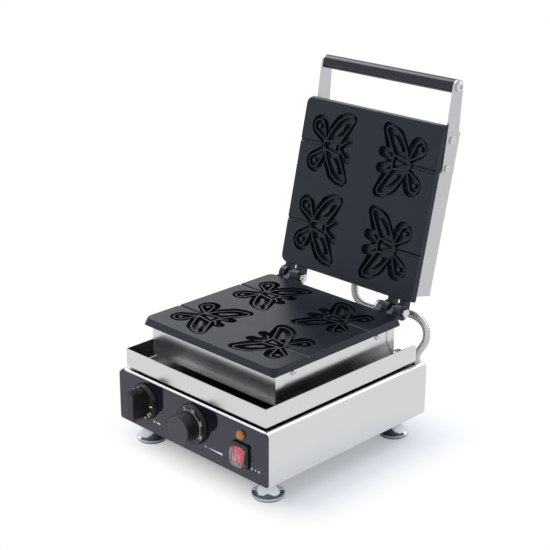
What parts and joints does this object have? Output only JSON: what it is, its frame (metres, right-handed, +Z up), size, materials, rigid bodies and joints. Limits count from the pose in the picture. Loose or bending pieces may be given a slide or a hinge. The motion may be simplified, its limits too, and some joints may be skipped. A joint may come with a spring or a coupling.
{
  "type": "waffle stick maker",
  "caption": "Countertop cooker with a hinged lid: two cast plates with winged cavities and stick grooves, drip tray, control casing with timer, thermostat, lamp and rocker switch, on feet.",
  "frame": {"origin": "on the counter, at the middle of the object's width and depth with the lid open", "axes": "+Z up, -Y towards the user and the control panel, +X to the user's right"},
  "size_m": [0.2517, 0.3684, 0.425],
  "materials": {
    "stainless": "satin",
    "panel_film": "glossy printed film",
    "coated_plate": "dark non-stick coating",
    "chrome": "polished",
    "foot_rubber": "matte",
    "fasteners": "satin",
    "grip": "gloss",
    "knob": "satin",
    "black_plastic": "matte",
    "amber_lens": "clear",
    "red_rocker": "gloss",
    "clear_cover": "clear",
    "hose": "ribbed",
    "heater": "oxidised",
    "wool": "fibrous",
    "sleeve": "woven"
  },
  "bodies": {
    "base": {"casing_shell": "stainless", "front_sheet": "stainless", "base_plate": "stainless", "rear_panel": "stainless", "drip_tray": "stainless", "lower_pan": "stainless", "control_panel": "panel_film", "lower_plate": "coated_plate", "foot_cups": "chrome", "foot_pads": "foot_rubber", "rear_screws": "fasteners", "foot_studs": "fasteners", "foot_nuts": "fasteners", "tray_spacers": "fasteners", "pan_posts": "fasteners", "pan_bolts": "fasteners", "pan_nuts": "fasteners", "pan_screws": "fasteners", "hinge_bolts": "fasteners", "hinge_nuts": "fasteners", "timer_body": "black_plastic", "thermostat_body": "black_plastic", "switch_housing": "black_plastic", "lamp_holder": "black_plastic", "mains_gland": "black_plastic", "terminal_block": "black_plastic", "power_lamp": "amber_lens", "rocker_cover": "clear_cover", "hose": "hose", "hose_gland": "hose", "lower_heater": "heater", "sensor_bulb": "heater", "lower_insulation": "wool", "wire_sleeve": "sleeve"},
    "lid": {"upper_plate": "coated_plate", "upper_pan": "stainless", "upper_heater": "heater", "upper_insulation": "wool", "handle_arm_left": "stainless", "handle_arm_right": "stainless", "handle_grip": "grip", "handle_rod": "fasteners", "handle_screws": "fasteners", "arm_screws": "fasteners", "lid_hose_gland": "hose"},
    "timer": {"timer_knob": "knob", "timer_shaft": "fasteners"},
    "thermostat": {"thermostat_knob": "knob", "thermostat_shaft": "fasteners"},
    "rocker": {"rocker": "red_rocker"}
  },
  "joints": [
    {"name": "lid_hinge", "type": "hinge", "parent": "base", "child": "lid", "pos_m": [0, 0.09161, 0.1559], "axis": [1, 0, 0], "range_deg": [0, 102.93], "deforming": ["hose"]},
    {"name": "timer_turn", "type": "hinge", "parent": "base", "child": "timer", "pos_m": [-0.0785, -0.16089, 0.0649], "axis": [0, 1, 0], "range_deg": [0, 300]},
    {"name": "thermostat_turn", "type": "hinge", "parent": "base", "child": "thermostat", "pos_m": [0.005, -0.16089, 0.0649], "axis": [0, 1, 0], "range_deg": [0, 270]},
    {"name": "rocker_tilt", "type": "hinge", "parent": "base", "child": "rocker", "pos_m": [0.0837, -0.15989, 0.0548], "axis": [1, 0, 0], "range_deg": [0, 14]}
  ]
}
